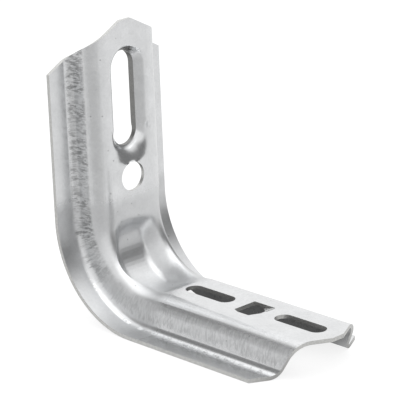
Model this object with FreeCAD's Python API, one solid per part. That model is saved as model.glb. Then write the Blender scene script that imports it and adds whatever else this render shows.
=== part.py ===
import FreeCAD, Part
import math
import os

V = FreeCAD.Vector

# Cable tray bracket: one sheet pressed to a hat section and bent to an L. Millimetres, degrees.
# The arm points along +X, +Z is up and the section is centred on y = 0. The crest of the hat lies
# on the inside of the L, the two flanges on the outside. The form is drawn from the wall plane
# x = 0 and the underside of the arm's flanges z = 0, and is then set so that the origin lies on
# the axis of the round wall hole, at the crest's face.

# Thickness of the sheet, the same everywhere
SHEET = 1.5

# Hat section, widths taken where the visible faces would meet without their folds
TOTAL_WIDTH = 54.0
FOOT_WIDTH = 35.6
CREST_WIDTH = 31.0
SECTION_DEPTH = 14.0
FOOT_FOLD_INSIDE = 3.0
SHOULDER_INSIDE = 5.8

# L shape
LEG_HEIGHT = 110.5
ARM_LENGTH = 116.5
CORNER_RADIUS = 37.0

# Ends of the blank: a short straight edge and a slant to either side, measured along the sheet
END_FLAT = 5.4
END_SLANT = 28.6
END_OVERCUT = 0.3
FOLD_POINTS = 7

# Round hole in the wall leg
WALL_HOLE_DIAMETER = 11.0
WALL_HOLE_HEIGHT = 50.9

# Slot in the wall leg, drawn into a tapered dish that runs from the round hole to near the top
WALL_SLOT_WIDTH = 11.5
WALL_SLOT_TOP_MARGIN = 12.1
DISH_DEPTH = 3.6
DISH_SIDE_RUN = 2.4
DISH_TOP_RUN = 2.4
DISH_BOTTOM_RUN = 6.0
DISH_LIP_INSIDE = 0.8

# Two slots in the arm
ARM_SLOT_WIDTH = 7.0
ARM_SLOT_LENGTH = 23.0
ARM_SLOT_PITCH = 45.4
ARM_SLOT_END_MARGIN = 6.5

# Four-sided hole midway between the arm slots, with a small tongue left at its outer corner
KEY_HOLE_LENGTH = 10.1
KEY_HOLE_WIDTH = 10.3
KEY_HOLE_SKEW = 3.0
KEY_HOLE_FILLET = 1.0
TONGUE_LENGTH = 5.0
TONGUE_WIDTH = 4.2
TONGUE_GAP = 0.4
TONGUE_DROP = 14.0

# Pocket pressed into the crest round the inside of the corner, its slopes measured from the floor
POCKET_DEPTH = 4.0
POCKET_FLOOR_WIDTH = 13.0
POCKET_WALL_ANGLE = 50.0
POCKET_TOP_ANGLE = 40.0
POCKET_ARM_ANGLE = 25.0
POCKET_BEND = 16.0
POCKET_TOP_SETBACK = 2.5
POCKET_REACH_PAST_BEND = 3.0
POCKET_FLOOR_FILLET = 3.0

# Run of the cutters past the sheet, match of two points, smallest turn of a sharp edge
CLEAR = 5.0
MATCH = 0.001
SHARP_TURN = 5.0

foot_fold_outside = FOOT_FOLD_INSIDE + SHEET
shoulder_outside = SHOULDER_INSIDE + SHEET
web_lean = math.atan2((FOOT_WIDTH - CREST_WIDTH) / 2, SECTION_DEPTH - SHEET)
fold_turn = math.pi / 2 - web_lean
fold_set_back = math.tan(fold_turn / 2)
web_run = math.hypot((FOOT_WIDTH - CREST_WIDTH) / 2, SECTION_DEPTH - SHEET)
web_run -= (shoulder_outside + FOOT_FOLD_INSIDE) * fold_set_back

# Places along the sheet, from the centre of the crest, where the shoulder, web, foot fold and
# flange start and where the flange ends; folds are measured at the middle of the sheet
shoulder_start = CREST_WIDTH / 2 - shoulder_outside * fold_set_back
web_start = shoulder_start + (shoulder_outside - SHEET / 2) * fold_turn
foot_start = web_start + web_run
flange_start = foot_start + (FOOT_FOLD_INSIDE + SHEET / 2) * fold_turn
flange_end = flange_start + (TOTAL_WIDTH - FOOT_WIDTH) / 2 - FOOT_FOLD_INSIDE * fold_set_back

wall_angle = math.radians(POCKET_WALL_ANGLE)
pocket_floor = SECTION_DEPTH - POCKET_DEPTH
pocket_centre = pocket_floor + POCKET_BEND
wall_slot_top = LEG_HEIGHT - WALL_SLOT_TOP_MARGIN
wall_slot_bottom = WALL_HOLE_HEIGHT + WALL_HOLE_DIAMETER / 2 + DISH_BOTTOM_RUN
wall_slot_centre = (wall_slot_top + wall_slot_bottom) / 2
wall_slot_length = wall_slot_top - wall_slot_bottom
outer_slot_centre = ARM_LENGTH - ARM_SLOT_END_MARGIN - ARM_SLOT_LENGTH / 2
inner_slot_centre = outer_slot_centre - ARM_SLOT_PITCH
key_hole_centre = (outer_slot_centre + inner_slot_centre) / 2


def rounded_face(corners):
    """Face on z = 0 from (x, y, radius) corners, each corner rounded by its radius."""
    count = len(corners)
    starts = []
    middles = []
    ends = []
    for index in range(count):
        here = V(*corners[index][:2])
        to_last = (V(*corners[index - 1][:2]) - here).normalize()
        to_next = (V(*corners[(index + 1) % count][:2]) - here).normalize()
        radius = corners[index][2]
        half = to_last.getAngle(to_next) / 2
        starts.append(here + to_last * (radius / math.tan(half)))
        ends.append(here + to_next * (radius / math.tan(half)))
        bisector = (to_last + to_next).normalize()
        middles.append(here + bisector * (radius / math.sin(half) - radius))
    edges = []
    for index in range(count):
        if corners[index][2] > 0:
            edges.append(Part.Arc(starts[index], middles[index], ends[index]).toShape())
        edges.append(Part.makeLine(ends[index], starts[(index + 1) % count]))
    return Part.Face(Part.Wire(edges))


def swept_l(face, bend_centre, top, reach):
    """Carry a section (x depth, y width) down the wall leg, round the bend and out along the arm."""
    centre = V(bend_centre, 0, bend_centre)
    axis = V(0, -1, 0)
    start = face.translated(V(0, 0, bend_centre))
    leg = start.extrude(V(0, 0, top - bend_centre))
    bend = start.revolve(centre, axis, 90)
    turned = start.copy()
    turned.rotate(centre, axis, 90)
    arm = turned.extrude(V(reach - bend_centre, 0, 0))
    return leg.fuse([bend, arm]).removeSplitter()


def on_wall_leg(shape):
    """Carry a shape made for the arm over to the wall leg, along the arm becoming up the leg."""
    return shape.mirror(V(0, 0, 0), V(1, 0, -1))


def middle_of(edge):
    return edge.valueAt((edge.FirstParameter + edge.LastParameter) / 2)


def is_sharp(shape, edge):
    """True where the two faces meeting at the edge are not tangent to each other."""
    faces = shape.ancestorsOfType(edge, Part.Face)
    if len(faces) < 2:
        return False
    point = middle_of(edge)
    normals = [face.normalAt(*face.Surface.parameter(point)) for face in faces[:2]]
    return math.degrees(normals[0].getAngle(normals[1])) > SHARP_TURN


def outer_form():
    """Everything between the wall plane and the visible faces of the hat."""
    edge = TOTAL_WIDTH / 2
    foot = FOOT_WIDTH / 2
    crest = CREST_WIDTH / 2
    corners = [
        (0, -edge, 0),
        (SHEET, -edge, 0),
        (SHEET, -foot, FOOT_FOLD_INSIDE),
        (SECTION_DEPTH, -crest, shoulder_outside),
        (SECTION_DEPTH, crest, shoulder_outside),
        (SHEET, foot, FOOT_FOLD_INSIDE),
        (SHEET, edge, 0),
        (0, edge, 0),
    ]
    return swept_l(rounded_face(corners), CORNER_RADIUS, LEG_HEIGHT, ARM_LENGTH)


def inner_form():
    """The channel behind the hat, one sheet thickness inside the outer form."""
    inset = SHEET * math.tan(web_lean) - SHEET / math.cos(web_lean)
    edge = TOTAL_WIDTH / 2 + CLEAR
    foot = FOOT_WIDTH / 2 + inset
    crest = CREST_WIDTH / 2 + inset
    corners = [
        (-CLEAR, -edge, 0),
        (0, -edge, 0),
        (0, -foot, foot_fold_outside),
        (SECTION_DEPTH - SHEET, -crest, SHOULDER_INSIDE),
        (SECTION_DEPTH - SHEET, crest, SHOULDER_INSIDE),
        (0, foot, foot_fold_outside),
        (0, edge, 0),
        (-CLEAR, edge, 0),
    ]
    return swept_l(rounded_face(corners), CORNER_RADIUS, LEG_HEIGHT + CLEAR, ARM_LENGTH + CLEAR)


def slot_wire(length, width, height):
    """Round-ended outline in the plane z = height, long axis along X and centred on the origin."""
    radius = width / 2
    run = length / 2 - radius
    right = Part.Arc(V(run, -radius, height), V(run + radius, 0, height), V(run, radius, height))
    left = Part.Arc(V(-run, radius, height), V(-run - radius, 0, height), V(-run, -radius, height))
    far = Part.makeLine(V(run, radius, height), V(-run, radius, height))
    near = Part.makeLine(V(-run, -radius, height), V(run, -radius, height))
    return Part.Wire([right.toShape(), far, left.toShape(), near])


def slot_cutter(length, width, position):
    """Through cutter for a slot in the crest of the arm."""
    prism = Part.Face(slot_wire(length, width, 0)).extrude(V(0, 0, SECTION_DEPTH + CLEAR))
    return prism.translated(V(position, 0, 0))


def kept_within(value, highest):
    """The value, but no less than zero and no more than the highest."""
    return min(max(value, 0), highest)


def end_point(along, length, inset):
    """Point of the arm's end this far along the sheet, at a depth inside the visible face."""
    shoulder_radius = shoulder_outside - inset
    foot_radius = FOOT_FOLD_INSIDE + inset
    shoulder = kept_within((along - shoulder_start) / (shoulder_outside - SHEET / 2), fold_turn)
    web = kept_within(along - web_start, web_run)
    foot = kept_within((along - foot_start) / (FOOT_FOLD_INSIDE + SHEET / 2), fold_turn)
    across = min(along, shoulder_start) + shoulder_radius * math.sin(shoulder)
    across += web * math.cos(fold_turn) + max(along - flange_start, 0)
    across += foot_radius * (math.sin(fold_turn) - math.sin(fold_turn - foot))
    depth = SECTION_DEPTH - inset - shoulder_radius * (1 - math.cos(shoulder))
    depth -= web * math.sin(fold_turn)
    depth -= foot_radius * (math.cos(fold_turn - foot) - math.cos(fold_turn))
    drop = math.tan(math.radians(END_SLANT)) * max(along - END_FLAT / 2, 0)
    return V(length - drop, across, depth)


def end_edge(start, end, length, inset):
    """Line or curve of the arm's end between two places along the sheet."""
    places = [start + (end - start) * step / (FOLD_POINTS - 1) for step in range(FOLD_POINTS)]
    points = [end_point(place, length, inset) for place in places]
    if start in (shoulder_start, foot_start):
        curve = Part.BSplineCurve()
        curve.interpolate(points)
        return curve.toShape()
    return Part.makeLine(points[0], points[-1])


def end_cutter(length):
    """Trim of the arm's end, square to the sheet along the blank's straight edge and slants."""
    stops = [0, END_FLAT / 2, shoulder_start, web_start, foot_start, flange_start, flange_end + CLEAR]
    strips = []
    for start, end in zip(stops, stops[1:]):
        seen = end_edge(start, end, length, -END_OVERCUT)
        hidden = end_edge(start, end, length, SHEET + END_OVERCUT)
        strips.append(Part.makeRuledSurface(seen, hidden).extrude(V(length, 0, 0)))
    half = strips[0].fuse(strips[1:])
    return half.fuse(half.mirror(V(0, 0, 0), V(0, 1, 0))).removeSplitter()


def dish(grow):
    """Tapered hollow for the wall slot, made for the arm; grow is the sheet behind it."""
    wires = []
    for rise in (-DISH_DEPTH, 2 * DISH_DEPTH):
        spreads = []
        for run in (DISH_SIDE_RUN, DISH_BOTTOM_RUN, DISH_TOP_RUN):
            slope = math.atan2(DISH_DEPTH, run)
            spreads.append(rise / math.tan(slope) + grow * math.tan(slope / 2))
        side, bottom, top = spreads
        length = wall_slot_length + bottom + top
        height = SECTION_DEPTH - grow - DISH_DEPTH + rise
        wire = slot_wire(length, WALL_SLOT_WIDTH + 2 * side, height)
        wires.append(wire.translated(V(wall_slot_centre + (top - bottom) / 2, 0, 0)))
    return Part.makeLoft(wires, True, True)


def pocket_end(end, slope, grow):
    """Cutter that slopes the arm end of the pocket, its end measured at the crest."""
    angle = math.radians(slope)
    along = V(math.cos(angle), 0, math.sin(angle))
    floor_end = end - POCKET_DEPTH / math.tan(angle) + grow * math.tan(angle / 2)
    foot = V(floor_end, -TOTAL_WIDTH, pocket_floor - grow)
    low = foot - along * ARM_LENGTH
    high = foot + along * ARM_LENGTH
    outline = [low, high, V(high.x, -TOTAL_WIDTH, low.z)]
    return Part.Face(Part.makePolygon(outline + outline[:1])).extrude(V(0, 2 * TOTAL_WIDTH, 0))


def touches_pocket_floor(edge, grow):
    """True where an end of the edge lies on the floor of a pocket tool."""
    for corner in edge.Vertexes:
        if min(corner.X, corner.Z) < pocket_floor - grow + MATCH:
            return True
        from_centre = math.hypot(corner.X - pocket_centre, corner.Z - pocket_centre)
        if max(corner.X, corner.Z) < pocket_centre and from_centre > POCKET_BEND + grow - MATCH:
            return True
    return False


def pocket(grow):
    """Hollow pressed into the crest at the corner; grow is the sheet behind it."""
    height = POCKET_BEND - SHEET + grow
    half = POCKET_FLOOR_WIDTH / 2 + grow * math.tan(wall_angle / 2)
    wide = half + height / math.tan(wall_angle)
    corners = [
        (pocket_floor - grow, -half, 0),
        (pocket_floor - grow + height, -wide, 0),
        (pocket_floor - grow + height, wide, 0),
        (pocket_floor - grow, half, 0),
    ]
    top = CORNER_RADIUS - POCKET_TOP_SETBACK
    reach = CORNER_RADIUS + POCKET_REACH_PAST_BEND
    tool = swept_l(rounded_face(corners), pocket_centre, top + SECTION_DEPTH, reach + SECTION_DEPTH)
    arm_end = pocket_end(reach, POCKET_ARM_ANGLE, grow)
    leg_end = on_wall_leg(pocket_end(top, POCKET_TOP_ANGLE, grow))
    tool = tool.cut([arm_end, leg_end])
    folds = [edge for edge in tool.Edges if is_sharp(tool, edge) and touches_pocket_floor(edge, grow)]
    return tool.makeFillet(POCKET_FLOOR_FILLET + grow, folds)


def gained_edges(shape, before):
    """Sharp edges that a shape has gained over the form it was cut from."""
    old = [middle_of(edge) for edge in before.Edges]
    gained = []
    for edge in shape.Edges:
        point = middle_of(edge)
        known = any(point.distanceToPoint(other) < MATCH for other in old)
        if not known and is_sharp(shape, edge):
            gained.append(edge)
    return gained


def pressed(form, grow, crest):
    """Press the dish and the pocket into a form whose crest stands at the given depth."""
    dished = form.cut(on_wall_leg(dish(grow)))
    rim = [edge for edge in gained_edges(dished, form) if middle_of(edge).x > crest - MATCH]
    dished = dished.makeFillet(DISH_LIP_INSIDE + SHEET - grow, rim)
    return dished.cut(pocket(grow))


def key_hole_cutter():
    """Skewed four-sided hole between the arm slots."""
    start = key_hole_centre - KEY_HOLE_LENGTH / 2
    end = key_hole_centre + KEY_HOLE_LENGTH / 2
    half = KEY_HOLE_WIDTH / 2
    corners = [
        (start, half, 0),
        (start, -half, 0),
        (end - KEY_HOLE_SKEW, -half - KEY_HOLE_SKEW, KEY_HOLE_FILLET),
        (end, -half + KEY_HOLE_SKEW, KEY_HOLE_FILLET),
        (end, half, 0),
    ]
    return rounded_face(corners).extrude(V(0, 0, SECTION_DEPTH + CLEAR))


def tongue():
    """Small three-sided tongue on the outer side of the key hole, bent down into it."""
    root = key_hole_centre + KEY_HOLE_LENGTH / 2
    far = KEY_HOLE_WIDTH / 2 - TONGUE_GAP
    near = far - TONGUE_WIDTH
    tip = root - TONGUE_LENGTH
    level = SECTION_DEPTH - SHEET
    inside = root + SHEET / 2
    outline = [V(root, near, level), V(inside, near, level), V(inside, far, level), V(tip, far, level)]
    flap = Part.Face(Part.makePolygon(outline + outline[:1])).extrude(V(0, 0, SHEET))
    flap.rotate(V(root, 0, level), V(0, -1, 0), TONGUE_DROP)
    return flap


def main():
    os.makedirs("parts", exist_ok=True)
    outer = pressed(outer_form(), 0, SECTION_DEPTH)
    inner = pressed(inner_form(), SHEET, SECTION_DEPTH - SHEET)
    cutters = [
        end_cutter(ARM_LENGTH),
        on_wall_leg(end_cutter(LEG_HEIGHT)),
        on_wall_leg(slot_cutter(wall_slot_length, WALL_SLOT_WIDTH, wall_slot_centre)),
        slot_cutter(ARM_SLOT_LENGTH, ARM_SLOT_WIDTH, inner_slot_centre),
        slot_cutter(ARM_SLOT_LENGTH, ARM_SLOT_WIDTH, outer_slot_centre),
        key_hole_cutter(),
        Part.makeCylinder(
            WALL_HOLE_DIAMETER / 2, SECTION_DEPTH + CLEAR, V(0, 0, WALL_HOLE_HEIGHT), V(1, 0, 0)
        ),
    ]
    bracket = outer.cut(inner).cut(cutters).fuse(tongue()).removeSplitter()
    bracket.translate(V(-SECTION_DEPTH, 0, -WALL_HOLE_HEIGHT))
    bracket.exportStep("parts/bracket.step")


main()
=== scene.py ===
import math

import bmesh
import bpy
from mathutils import Matrix, Vector
from mathutils.kdtree import KDTree


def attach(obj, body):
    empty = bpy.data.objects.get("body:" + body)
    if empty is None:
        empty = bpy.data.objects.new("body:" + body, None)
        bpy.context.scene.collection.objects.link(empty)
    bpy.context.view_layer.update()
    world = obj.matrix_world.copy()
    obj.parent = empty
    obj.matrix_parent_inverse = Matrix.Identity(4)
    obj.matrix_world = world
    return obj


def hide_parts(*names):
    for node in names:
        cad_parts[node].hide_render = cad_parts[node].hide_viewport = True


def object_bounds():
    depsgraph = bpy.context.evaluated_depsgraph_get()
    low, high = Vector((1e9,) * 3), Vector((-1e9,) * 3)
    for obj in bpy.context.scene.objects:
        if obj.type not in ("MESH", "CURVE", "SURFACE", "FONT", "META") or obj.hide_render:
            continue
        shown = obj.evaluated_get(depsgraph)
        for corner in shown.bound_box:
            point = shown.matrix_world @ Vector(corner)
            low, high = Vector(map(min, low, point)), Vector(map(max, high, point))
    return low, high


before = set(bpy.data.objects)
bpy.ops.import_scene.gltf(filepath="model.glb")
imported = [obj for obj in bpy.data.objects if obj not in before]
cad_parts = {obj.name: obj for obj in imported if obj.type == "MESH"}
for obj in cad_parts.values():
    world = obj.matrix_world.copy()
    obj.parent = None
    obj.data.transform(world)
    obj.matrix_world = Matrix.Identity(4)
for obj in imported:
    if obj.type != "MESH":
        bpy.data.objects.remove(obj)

cad_low, cad_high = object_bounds()


# Bracket, the pressed sheet
# One strip of zinc-coated steel, folded to a hat and pressed round a corner in one tool. The skin
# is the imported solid's own surface, merged so that the folds shade as one smooth bend, with the
# sheared faces told apart from the coated ones. Lengths are in metres.
merge_distance = 1e-6
section_depth = 0.014
corner_radius = 0.037
leg_foot = cad_low.z
wall_plane = cad_low.x
corner_x = wall_plane + corner_radius
corner_z = leg_foot + corner_radius
flange_edge = cad_high.y
crease_angle = math.radians(32)

# Sheared faces: how far the slanted ends and the holes reach, and how squarely their faces stand
edge_slack = 0.00005
slanted_length = 0.020
end_squareness = 0.7
hole_reach = 0.006
hole_slant = 0.25

# Borders of the metal that is eased, then how closely it is meshed and how strongly eased
crest_half = 0.0180
pocket_top = corner_z + 0.0060
pocket_reach = corner_x + 0.0035
near_side = -0.0100
near_share = 0.25
dish_foot = 0.0052
dish_top = 0.0190
dish_half = 0.0120
fade_length = 0.0025
easing_step = 0.0010
mesh_rounds = 6
ease_reach = 0.0028
ease_rounds = 3


def sheet_normal(place):
    """Direction in which the hat rises from the flanges at a place on the L."""
    away = Vector((min(place.x - corner_x, 0), 0, min(place.z - corner_z, 0)))
    return -away.normalized()


def sheet_rise(place):
    """How far a place on the L stands above the outer faces of the flanges."""
    short = Vector((min(place.x - corner_x, 0), 0, min(place.z - corner_z, 0)))
    return corner_radius - short.length


def is_sheared(face):
    """True for the faces left by the shears and punches, square to the coated skin."""
    place = face.calc_center_median()
    if abs(place.y) > flange_edge - edge_slack:
        return True
    rise = sheet_normal(place)
    run = rise.cross(Vector((0, 1, 0)))
    in_end = max(place.x - cad_high.x, place.z - cad_high.z) > -slanted_length
    if in_end and abs(face.normal.dot(run)) > end_squareness:
        return True
    return abs(place.y) < hole_reach and abs(face.normal.dot(rise)) < hole_slant


def fading(distance):
    """0 outside a border, rising to 1 at one fade length inside it."""
    return min(max(distance / fade_length, 0), 1)


def ease_share(place, margin=0):
    """How far the metal at a place is eased: in the pocket and round the foot of the dish."""
    in_pocket = fading(crest_half + margin - abs(place.y))
    in_pocket *= fading(pocket_reach + margin - place.x) * fading(pocket_top + margin - place.z)
    in_pocket *= near_share + (1 - near_share) * fading(place.y - near_side)
    in_dish = fading(dish_half + margin - abs(place.y))
    in_dish *= fading(dish_top + margin - place.z) * fading(place.z - dish_foot + margin)
    return max(in_pocket, in_dish) * fading(sheet_rise(place) + margin - section_depth / 2)


def is_seen(normal, place):
    """True on the side of the sheet that the hat turns outward."""
    return normal.dot(sheet_normal(place)) > 0


def ease(mesh):
    """Move the seen metal square to itself, towards the mean of the metal round about it."""
    mesh.normal_update()
    facets = []
    for face in mesh.faces:
        centre = face.calc_center_median()
        if ease_share(centre, 2 * ease_reach) > 0 and is_seen(face.normal, centre):
            facets.append((centre, face.normal.copy(), face.calc_area()))
    tree = KDTree(len(facets))
    for index, facet in enumerate(facets):
        tree.insert(facet[0], index)
    tree.balance()
    moves = []
    for vert in mesh.verts:
        share = ease_share(vert.co)
        at_cut = any(face.material_index == 1 for face in vert.link_faces)
        if share == 0 or at_cut or not is_seen(vert.normal, vert.co):
            continue
        mean_place = Vector()
        mean_normal = Vector()
        weights = 0
        for centre, index, distance in tree.find_range(vert.co, ease_reach):
            weight = facets[index][2] * (1 - (distance / ease_reach) ** 2)
            mean_place += weight * centre
            mean_normal += weight * facets[index][1]
            weights += weight
        if weights > 0:
            mean_normal.normalize()
            offset = (mean_place / weights - vert.co).dot(mean_normal)
            moves.append((vert, mean_normal * (share * offset)))
    for vert, move in moves:
        vert.co += move


skin = bmesh.new()
skin.from_mesh(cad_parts["bracket"].data)
bmesh.ops.remove_doubles(skin, verts=skin.verts, dist=merge_distance)
for face in skin.faces:
    face.smooth = True
    face.material_index = 1 if is_sheared(face) else 0

# The solid has plain creases at the pocket; here the metal there gets a closer mesh and is eased
# over them, less on the near side, which is crisp on the pressed part too
for _ in range(mesh_rounds):
    long_edges = [
        edge for edge in skin.edges
        if edge.calc_length() > easing_step
        and is_seen(edge.link_faces[0].normal, edge.verts[0].co)
        and any(ease_share(vert.co, ease_reach) > 0 for vert in edge.verts)
    ]
    bmesh.ops.subdivide_edges(skin, edges=long_edges, cuts=1)
    bmesh.ops.triangulate(skin, faces=[face for face in skin.faces if len(face.verts) > 3])
for _ in range(ease_rounds):
    ease(skin)

# Cut edges and creases are drawn sharp; validate drops what the closer mesh has doubled
skin.normal_update()
for edge in skin.edges:
    same_kind = edge.link_faces[0].material_index == edge.link_faces[-1].material_index
    edge.smooth = same_kind and edge.calc_face_angle(0) < crease_angle
skin_mesh = bpy.data.meshes.new("pressed_sheet")
skin.to_mesh(skin_mesh)
skin.free()
skin_mesh.validate()
pressed_sheet = bpy.data.objects.new("pressed_sheet", skin_mesh)
bpy.context.scene.collection.objects.link(pressed_sheet)
even_shading = pressed_sheet.modifiers.new("even_shading", "WEIGHTED_NORMAL")
even_shading.keep_sharp = True


def linear(hex_colour):
    """sRGB hex value as the linear colour that a shader socket takes."""
    channels = [int(hex_colour[i:i + 2], 16) / 255 for i in (1, 3, 5)]
    return tuple(c / 12.92 if c <= 0.04045 else ((c + 0.055) / 1.055) ** 2.4 for c in channels) + (1.0,)


def add(tree, kind, inputs=None, **settings):
    """Adds a shader node; inputs holds, by name or number, plain values, nodes or their sockets."""
    node = tree.nodes.new("ShaderNode" + kind)
    for name, value in settings.items():
        setattr(node, name, value)
    for key, value in (inputs or {}).items():
        if isinstance(value, bpy.types.Node):
            value = value.outputs[0]
        if isinstance(value, bpy.types.NodeSocket):
            tree.links.new(value, node.inputs[key])
        else:
            node.inputs[key].default_value = value
    return node


# Zinc coating
# Hot-dip galvanised sheet with a fine spangle, satin after skin passing: a pale blue-grey metal
# with a soft, even reflection. Where the tool dragged over the webs the zinc is torn in short
# streaks square to the folds. The foot folds are rubbed rougher, and a painted highlight brightens
# them.
mm_per_metre = 1000.0
unroll_radius = 30.0

# Sizes of marks in millimetres, along the strip, up the hat and across it. The grain is really
# finer, and is drawn this coarse so that it shows.
band_wander = (0.909, 33.33, 33.33)
streak_size = (0.8333, 3.333, 3.333)
patch_size = (4.545, 6.667, 6.667)
rub_size = (2.0, 3.333, 3.333)
cloud_size = 8.333
spangle_width = 2.857
grain_width = 1.111
speck_spacing = 3.571

# How far each mark changes the metal's tone, then its roughness
spangle_base = 0.95
spangle_gain = 0.04
tear_on_leg = 0.54
tear_on_arm = 0.22
speck_loss = 0.3
# Painted shade: how far the colour of the corner and the pocket is darkened
corner_shade_loss = 0.12
# Painted highlight: how far the foot folds are brightened
fold_highlight_tone = 1.12
base_roughness = 0.20
grain_roughness = 0.06
drawn_roughness = 0.13
burnish_roughness = 0.15


def per_mm(sizes):
    """Noise cells in a millimetre along, up and across the strip, for marks of these sizes."""
    return tuple(1 / size for size in sizes)


zinc = bpy.data.materials.new("galvanised_zinc")
zinc.use_nodes = True
tree = zinc.node_tree
tree.nodes.clear()
place = add(tree, "TexCoord").outputs["Object"]
in_mm = add(tree, "VectorMath", {0: place, "Scale": mm_per_metre}, operation="SCALE")

# Places on the flat strip: how far along it, how far the hat has risen, and how far to a side
corner_mm = (corner_x * mm_per_metre, 0, corner_z * mm_per_metre)
in_section = add(tree, "VectorMath", {0: in_mm, 1: (1, 0, 1)}, operation="MULTIPLY")
to_corner = add(tree, "VectorMath", {0: corner_mm, 1: in_section}, operation="SUBTRACT")
short = add(tree, "VectorMath", {0: to_corner, 1: (0, 0, 0)}, operation="MAXIMUM")
beyond = add(tree, "VectorMath", {0: to_corner, 1: (0, 0, 0)}, operation="MINIMUM")
radius = add(tree, "VectorMath", {0: short}, operation="LENGTH").outputs["Value"]
rise = add(tree, "Math", {0: corner_radius * mm_per_metre, 1: radius}, operation="SUBTRACT")
short_x, _, short_z = add(tree, "SeparateXYZ", {0: short}).outputs
past_on_arm, _, past_on_leg = add(tree, "SeparateXYZ", {0: beyond}).outputs
angle = add(tree, "Math", {0: short_z, 1: short_x}, operation="ARCTAN2")
turned = add(tree, "Math", {0: angle, 1: unroll_radius, 2: past_on_leg}, operation="MULTIPLY_ADD")
along = add(tree, "Math", {0: turned, 1: past_on_arm}, operation="SUBTRACT")
across = add(tree, "SeparateXYZ", {0: in_mm}).outputs["Y"]
aside = add(tree, "Math", {0: across}, operation="ABSOLUTE")
strip = add(tree, "CombineXYZ", {"X": along, "Y": rise, "Z": across})

# The torn band lies low on the web of the leg and climbs by the corner to its upper half
climb = add(tree, "MapRange", {
    "Value": along, "From Min": -10.0, "From Max": 45.0, "To Max": 3.4,
}, interpolation_type="SMOOTHSTEP")
edge_place = add(tree, "VectorMath", {0: strip, 1: per_mm(band_wander)}, operation="MULTIPLY")
edge_noise = add(tree, "TexNoise", {
    "Vector": edge_place, "Scale": 1.0, "Detail": 3.0, "Roughness": 0.7,
})
ragged = add(tree, "Math", {0: edge_noise, 1: 7.0, 2: -3.5}, operation="MULTIPLY_ADD")
level_in_band = add(tree, "Math", {0: rise, 1: climb}, operation="SUBTRACT")
band_place = add(tree, "Math", {0: level_in_band, 1: ragged}, operation="ADD")
band_low = add(tree, "MapRange", {
    "Value": band_place, "From Min": 0.8, "From Max": 2.0,
}, interpolation_type="SMOOTHSTEP")
band_high = add(tree, "MapRange", {
    "Value": level_in_band, "From Min": 8.8, "From Max": 7.2,
}, interpolation_type="SMOOTHSTEP")
on_web = add(tree, "MapRange", {
    "Value": aside, "From Min": 14.4, "From Max": 15.2,
}, interpolation_type="SMOOTHSTEP")
off_flange = add(tree, "MapRange", {
    "Value": aside, "From Min": 20.0, "From Max": 18.8,
}, interpolation_type="SMOOTHSTEP")
band_edges = add(tree, "Math", {0: band_low, 1: band_high}, operation="MULTIPLY")
web_only = add(tree, "Math", {0: on_web, 1: off_flange}, operation="MULTIPLY")
band = add(tree, "Math", {0: band_edges, 1: web_only}, operation="MULTIPLY")

streak_place = add(tree, "VectorMath", {0: strip, 1: per_mm(streak_size)}, operation="MULTIPLY")
streaks = add(tree, "TexNoise", {
    "Vector": streak_place, "Scale": 1.0, "Detail": 5.0, "Roughness": 0.75,
})
streak = add(tree, "MapRange", {
    "Value": streaks, "From Min": 0.43, "From Max": 0.58,
}, interpolation_type="SMOOTHSTEP")
patch_place = add(tree, "VectorMath", {0: strip, 1: per_mm(patch_size)}, operation="MULTIPLY")
patches = add(tree, "TexNoise", {"Vector": patch_place, "Scale": 1.0, "Detail": 2.0})
patch = add(tree, "MapRange", {
    "Value": patches, "From Min": 0.38, "From Max": 0.58, "To Min": 0.45,
}, interpolation_type="SMOOTHSTEP")
on_arm = add(tree, "MapRange", {
    "Value": along, "From Min": 5.0, "From Max": 50.0,
}, interpolation_type="SMOOTHSTEP")
between = add(tree, "Math", {0: 1.0, 1: streak}, operation="SUBTRACT")
mark = add(tree, "Mix", {0: on_arm, 2: streak, 3: between}, data_type="FLOAT")
streak_in_patch = add(tree, "Math", {0: mark, 1: patch}, operation="MULTIPLY")
torn = add(tree, "Math", {0: band, 1: streak_in_patch}, operation="MULTIPLY")
tear_depth = add(tree, "Math", {
    0: on_arm, 1: tear_on_arm - tear_on_leg, 2: tear_on_leg,
}, operation="MULTIPLY_ADD")

# Painted highlight along the foot folds past the leg, patchy; the same mask makes them rougher where
# rubbed
fold_start = add(tree, "MapRange", {
    "Value": aside, "From Min": 18.2, "From Max": 18.9,
}, interpolation_type="SMOOTHSTEP")
fold_end = add(tree, "MapRange", {
    "Value": aside, "From Min": 20.6, "From Max": 19.8,
}, interpolation_type="SMOOTHSTEP")
past_leg = add(tree, "MapRange", {
    "Value": along, "From Min": -5.0, "From Max": 25.0,
}, interpolation_type="SMOOTHSTEP")
rub_place = add(tree, "VectorMath", {0: strip, 1: per_mm(rub_size)}, operation="MULTIPLY")
rub_noise = add(tree, "TexNoise", {
    "Vector": rub_place, "Scale": 1.0, "Detail": 4.0, "Roughness": 0.7,
})
rubbed = add(tree, "MapRange", {
    "Value": rub_noise, "From Min": 0.38, "From Max": 0.52,
}, interpolation_type="SMOOTHSTEP")
fold_line = add(tree, "Math", {0: fold_start, 1: fold_end}, operation="MULTIPLY")
rubbed_past_leg = add(tree, "Math", {0: rubbed, 1: past_leg}, operation="MULTIPLY")
burnish_and_highlight = add(tree, "Math", {0: fold_line, 1: rubbed_past_leg}, operation="MULTIPLY")

# The metal drawn round the corner and into the pocket is duller than the flat stretches, and its colour
# there is darkened as painted shade that tones down the bright folds of the corner
drawn_shade_start = add(tree, "MapRange", {
    "Value": along, "From Min": -9.0, "From Max": -3.0,
}, interpolation_type="SMOOTHSTEP")
drawn_shade_end = add(tree, "MapRange", {
    "Value": along, "From Min": 56.0, "From Max": 48.0,
}, interpolation_type="SMOOTHSTEP")
drawn_and_corner_shade = add(tree, "Math", {0: drawn_shade_start, 1: drawn_shade_end}, operation="MULTIPLY")

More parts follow.
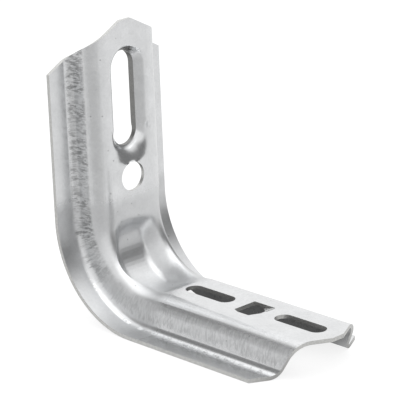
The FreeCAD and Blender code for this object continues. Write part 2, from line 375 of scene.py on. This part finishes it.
# Spangle, faint clouds and a few specks
spangle_cells = add(tree, "TexVoronoi", {"Vector": in_mm, "Scale": 1 / spangle_width}).outputs["Color"]
spangle = add(tree, "SeparateColor", {0: spangle_cells})
clouds = add(tree, "TexNoise", {"Vector": strip, "Scale": 1 / cloud_size, "Detail": 4.0})
grain = add(tree, "TexNoise", {
    "Vector": in_mm, "Scale": 1 / grain_width, "Detail": 4.0, "Roughness": 0.6,
})
speck_cells = add(tree, "TexVoronoi", {"Vector": in_mm, "Scale": 1 / speck_spacing})
speck_spot = add(tree, "MapRange", {
    "Value": speck_cells.outputs["Distance"], "From Min": 0.12, "From Max": 0.06,
}, interpolation_type="SMOOTHSTEP")
speck_lot = add(tree, "SeparateColor", {0: speck_cells.outputs["Color"]})
speck_chosen = add(tree, "Math", {0: speck_lot, 1: 0.72}, operation="GREATER_THAN")
speck = add(tree, "Math", {0: speck_spot, 1: speck_chosen}, operation="MULTIPLY")

shade = add(tree, "Math", {
    0: spangle, 1: spangle_gain, 2: spangle_base,
}, operation="MULTIPLY_ADD")
cloud = add(tree, "MapRange", {
    "Value": clouds, "From Min": 0.3, "From Max": 0.7, "To Min": 0.95, "To Max": 1.02,
})
shade = add(tree, "Math", {0: shade, 1: cloud}, operation="MULTIPLY")
mottle = add(tree, "MapRange", {
    "Value": grain, "From Min": 0.35, "From Max": 0.60, "To Min": 0.965, "To Max": 1.01,
})
shade = add(tree, "Math", {0: shade, 1: mottle}, operation="MULTIPLY")
torn_dark = add(tree, "Math", {0: torn, 1: tear_depth}, operation="MULTIPLY")
torn_left = add(tree, "Math", {0: 1.0, 1: torn_dark}, operation="SUBTRACT")
shade = add(tree, "Math", {0: shade, 1: torn_left}, operation="MULTIPLY")
speck_left = add(tree, "Math", {0: speck, 1: -speck_loss, 2: 1.0}, operation="MULTIPLY_ADD")
shade = add(tree, "Math", {0: shade, 1: speck_left}, operation="MULTIPLY")
# Painted shade: the corner and the pocket darkened
corner_shade_left = add(tree, "Math", {0: drawn_and_corner_shade, 1: -corner_shade_loss, 2: 1.0}, operation="MULTIPLY_ADD")
shade = add(tree, "Math", {0: shade, 1: corner_shade_left}, operation="MULTIPLY")
# Painted highlight: the foot folds lifted towards white
painted_fold_highlight = add(tree, "Math", {0: burnish_and_highlight, 1: fold_highlight_tone}, operation="MULTIPLY")
shade = add(tree, "Math", {0: shade, 1: painted_fold_highlight}, operation="MAXIMUM")
tint = add(tree, "CombineColor", {0: shade, 1: shade, 2: shade})
colour = add(tree, "Mix", {
    "Factor": 1.0, 6: linear("#e9eaeb"), 7: tint,
}, data_type="RGBA", blend_type="MULTIPLY").outputs[2]
roughness = add(tree, "Math", {
    0: grain, 1: grain_roughness, 2: base_roughness,
}, operation="MULTIPLY_ADD")
scoured = add(tree, "Math", {0: on_arm, 1: 0.10, 2: 0.06}, operation="MULTIPLY_ADD")
band_roughness = add(tree, "Math", {0: band, 1: scoured}, operation="MULTIPLY")
roughness = add(tree, "Math", {0: roughness, 1: band_roughness}, operation="ADD")
roughness = add(tree, "Math", {
    0: burnish_and_highlight, 1: burnish_roughness, 2: roughness,
}, operation="MULTIPLY_ADD")
roughness = add(tree, "Math", {
    0: drawn_and_corner_shade, 1: drawn_roughness, 2: roughness,
}, operation="MULTIPLY_ADD")
fine_height = add(tree, "Math", {0: grain, 1: 0.06}, operation="MULTIPLY")
height = add(tree, "Math", {0: torn, 1: -0.7, 2: fine_height}, operation="MULTIPLY_ADD")
bump = add(tree, "Bump", {"Strength": 0.35, "Distance": 0.00006, "Height": height})
surface = add(tree, "BsdfPrincipled", {
    "Base Color": colour, "Metallic": 1.0, "Roughness": roughness, "Normal": bump,
})
add(tree, "OutputMaterial", {"Surface": surface})
pressed_sheet.data.materials.append(zinc)

# Sheared edge
# Bare steel where the strip was cut and the holes were punched: a bright, finely scored band,
# with painted shade darkening the walls of the long wall slot. The scores are really finer
# than this.
score_width = 0.4
slot_end = cad_high.z - 0.010
slot_side = hole_reach + 0.0002
# Painted shade: how far the walls of the long wall slot are darkened
slot_shade_loss = 0.55
steel = bpy.data.materials.new("sheared_steel")
steel.use_nodes = True
tree = steel.node_tree
tree.nodes.clear()
place = add(tree, "TexCoord").outputs["Object"]
in_mm = add(tree, "VectorMath", {0: place, "Scale": mm_per_metre}, operation="SCALE")
scored = add(tree, "TexNoise", {"Vector": in_mm, "Scale": 1 / score_width, "Detail": 3.0})
tone = add(tree, "MapRange", {
    "Value": scored, "From Min": 0.3, "From Max": 0.7, "To Min": 0.78, "To Max": 1.0,
}, interpolation_type="SMOOTHSTEP")
_, steel_y, steel_z = add(tree, "SeparateXYZ", {0: place}).outputs
beside = add(tree, "Math", {0: steel_y}, operation="ABSOLUTE")
in_width = add(tree, "Math", {0: beside, 1: slot_side}, operation="LESS_THAN")
above_hole = add(tree, "Math", {0: steel_z, 1: dish_foot}, operation="GREATER_THAN")
below_end = add(tree, "Math", {0: steel_z, 1: slot_end}, operation="LESS_THAN")
in_height = add(tree, "Math", {0: above_hole, 1: below_end}, operation="MULTIPLY")
in_slot = add(tree, "Math", {0: in_width, 1: in_height}, operation="MULTIPLY")
# Painted shade: the walls of the long wall slot darkened
slot_shade_left = add(tree, "Math", {0: in_slot, 1: -slot_shade_loss, 2: 1.0}, operation="MULTIPLY_ADD")
tone = add(tree, "Math", {0: tone, 1: slot_shade_left}, operation="MULTIPLY")
tint = add(tree, "CombineColor", {0: tone, 1: tone, 2: tone})
colour = add(tree, "Mix", {
    "Factor": 1.0, 6: linear("#dcdcda"), 7: tint,
}, data_type="RGBA", blend_type="MULTIPLY").outputs[2]
bump = add(tree, "Bump", {"Strength": 0.3, "Distance": 0.00005, "Height": scored})
surface = add(tree, "BsdfPrincipled", {
    "Base Color": colour, "Metallic": 1.0, "Roughness": 0.42, "Normal": bump,
})
add(tree, "OutputMaterial", {"Surface": surface})
pressed_sheet.data.materials.append(steel)

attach(pressed_sheet, "root")
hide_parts("bracket")

# Floor
# A pale paper disc under the arm, plain white to the camera with the bracket's faint shadow on it.
# The metal mirrors it lighter towards the back and dark under the arm, where no light comes in.
floor_radius = 3.0
floor_gap = 0.0002
paper_glow = 0.80
paper_mirrored = 0.82
back_gain = 0.08
front_azimuth = -60
front_loss = 0.17
under_arm_loss = 0.88


def heading(azimuth, elevation):
    """Direction at an azimuth from +X and an elevation, both in degrees."""
    turn = math.radians(azimuth)
    lift = math.radians(elevation)
    flat = math.cos(lift)
    return Vector((flat * math.cos(turn), flat * math.sin(turn), math.sin(lift)))


floor_mesh = bpy.data.meshes.new("floor")
disc = bmesh.new()
bmesh.ops.create_circle(disc, cap_ends=True, segments=96, radius=floor_radius)
bmesh.ops.translate(disc, vec=(0, 0, leg_foot - floor_gap), verts=disc.verts)
disc.to_mesh(floor_mesh)
disc.free()
floor = bpy.data.objects.new("floor", floor_mesh)
bpy.context.scene.collection.objects.link(floor)
paper = bpy.data.materials.new("paper")
paper.use_nodes = True
tree = paper.node_tree
tree.nodes.clear()
light_path = add(tree, "LightPath")
seen = add(tree, "Math", {
    0: light_path.outputs["Is Camera Ray"], 1: light_path.outputs["Is Transmission Ray"],
}, operation="MAXIMUM")
matt = add(tree, "BsdfDiffuse", {"Color": linear("#969696")})
glow_strength = add(tree, "Math", {0: seen, 1: paper_glow}, operation="MULTIPLY")
glow = add(tree, "Emission", {"Color": (1, 1, 1, 1), "Strength": glow_strength})
lit_paper = add(tree, "AddShader", {0: matt, 1: glow})

on_floor = add(tree, "TexCoord").outputs["Object"]
outward = add(tree, "VectorMath", {0: on_floor}, operation="NORMALIZE")
floor_x, floor_y, _ = add(tree, "SeparateXYZ", {0: on_floor}).outputs
heading_y = add(tree, "SeparateXYZ", {0: outward}).outputs["Y"]
back_level = add(tree, "Math", {
    0: heading_y, 1: back_gain, 2: paper_mirrored,
}, operation="MULTIPLY_ADD")
to_front = add(tree, "VectorMath", {
    0: outward, 1: heading(front_azimuth, 0),
}, operation="DOT_PRODUCT")
front = add(tree, "MapRange", {
    "Value": to_front.outputs["Value"],
    "From Min": math.cos(math.radians(50)), "From Max": math.cos(math.radians(15)),
}, interpolation_type="SMOOTHSTEP")
paper_level = add(tree, "Math", {0: front, 1: -front_loss, 2: back_level}, operation="MULTIPLY_ADD")
beside = add(tree, "Math", {0: floor_y}, operation="ABSOLUTE")
between_flanges = add(tree, "MapRange", {
    "Value": beside, "From Min": flange_edge + 0.002, "From Max": flange_edge - 0.008,
}, interpolation_type="SMOOTHSTEP")
short_of_end = add(tree, "MapRange", {
    "Value": floor_x, "From Min": cad_high.x + 0.005, "From Max": cad_high.x - 0.030,
}, interpolation_type="SMOOTHSTEP")
under_arm = add(tree, "Math", {0: between_flanges, 1: short_of_end}, operation="MULTIPLY")
open_share = add(tree, "Math", {0: under_arm, 1: -under_arm_loss, 2: 1.0}, operation="MULTIPLY_ADD")
mirrored_level = add(tree, "Math", {0: paper_level, 1: open_share}, operation="MULTIPLY")
mirrored_paper = add(tree, "Emission", {"Color": (1, 1, 1, 1), "Strength": mirrored_level})
paper_seen = add(tree, "MixShader", {
    0: light_path.outputs["Is Glossy Ray"], 1: lit_paper, 2: mirrored_paper,
})
add(tree, "OutputMaterial", {"Surface": paper_seen})
floor.data.materials.append(paper)

# Studio
# White walls all round, with two dark places that only the metal mirrors: the room's far side low
# down behind the arm, and a dark panel above the horizon on the left. The camera sees plain white.
gap_azimuth = 47
gap_loss = 0.80
panel_azimuth = -145
panel_elevation = 26
panel_loss = 0.78
diffuse_level = 0.75
world = bpy.data.worlds.new("studio")
world.use_nodes = True
bpy.context.scene.world = world
tree = world.node_tree
tree.nodes.clear()
light_path = add(tree, "LightPath")
looking = add(tree, "TexCoord").outputs["Generated"]
height_up = add(tree, "SeparateXYZ", {0: looking}).outputs["Z"]
to_gap = add(tree, "VectorMath", {
    0: looking, 1: heading(gap_azimuth, 0),
}, operation="DOT_PRODUCT")
gap_aside = add(tree, "MapRange", {
    "Value": to_gap.outputs["Value"], "From Min": 0.25, "From Max": 0.6,
}, interpolation_type="SMOOTHSTEP")
gap_low = add(tree, "MapRange", {
    "Value": height_up, "From Min": 0.62, "From Max": 0.45,
}, interpolation_type="SMOOTHSTEP")
gap = add(tree, "Math", {0: gap_aside, 1: gap_low}, operation="MULTIPLY")
to_panel = add(tree, "VectorMath", {
    0: looking, 1: heading(panel_azimuth, panel_elevation),
}, operation="DOT_PRODUCT")
panel = add(tree, "MapRange", {
    "Value": to_panel.outputs["Value"],
    "From Min": math.cos(math.radians(30)), "From Max": math.cos(math.radians(15)),
}, interpolation_type="SMOOTHSTEP")
with_gap = add(tree, "Math", {0: gap, 1: -gap_loss, 2: 1.0}, operation="MULTIPLY_ADD")
mirrored_level = add(tree, "Math", {0: panel, 1: -panel_loss, 2: with_gap}, operation="MULTIPLY_ADD")
seen = add(tree, "Math", {
    0: light_path.outputs["Is Camera Ray"], 1: light_path.outputs["Is Transmission Ray"],
}, operation="MAXIMUM")
strength = add(tree, "Mix", {
    0: light_path.outputs["Is Glossy Ray"], 2: diffuse_level, 3: mirrored_level,
}, data_type="FLOAT")
strength = add(tree, "Mix", {0: seen, 2: strength, 3: 1.0}, data_type="FLOAT")
background = add(tree, "Background", {"Color": (1, 1, 1, 1), "Strength": strength})
add(tree, "OutputWorld", {"Surface": background})

# A large soft lamp overhead, no brighter than the walls, gives the bracket its faint shadow
lamp = bpy.data.lights.new("top_softbox", "AREA")
lamp.size = 1.4
lamp.energy = 5.0
softbox = bpy.data.objects.new("top_softbox", lamp)
softbox.location = (0.1, -0.1, 0.9)
bpy.context.scene.collection.objects.link(softbox)

# Camera
# The photograph is taken from the front and a little above with a long lens, turned about two
# degrees. The image is taken as 400 by 400.
camera_target = Vector((0.0283, 0.0061, -0.0056))
camera_azimuth = -43.12
camera_elevation = 18.34
camera_roll = math.radians(-2.29)
camera_distance = 0.889

towards = heading(camera_azimuth, camera_elevation)
camera = bpy.data.objects.new("camera", bpy.data.cameras.new("camera"))
camera.data.lens = 220.0
camera.data.sensor_width = 36.0
camera.data.shift_x = 0.0034
camera.data.shift_y = 0.005
camera.data.clip_start = 0.01
camera.data.clip_end = 50.0
aim = towards.to_track_quat("Z", "Y").to_matrix().to_4x4()
turn = Matrix.Rotation(camera_roll, 4, "Z")
camera.matrix_world = Matrix.Translation(camera_target + towards * camera_distance) @ aim @ turn
bpy.context.scene.collection.objects.link(camera)
bpy.context.scene.camera = camera

bpy.context.scene.view_settings.view_transform = "Standard"
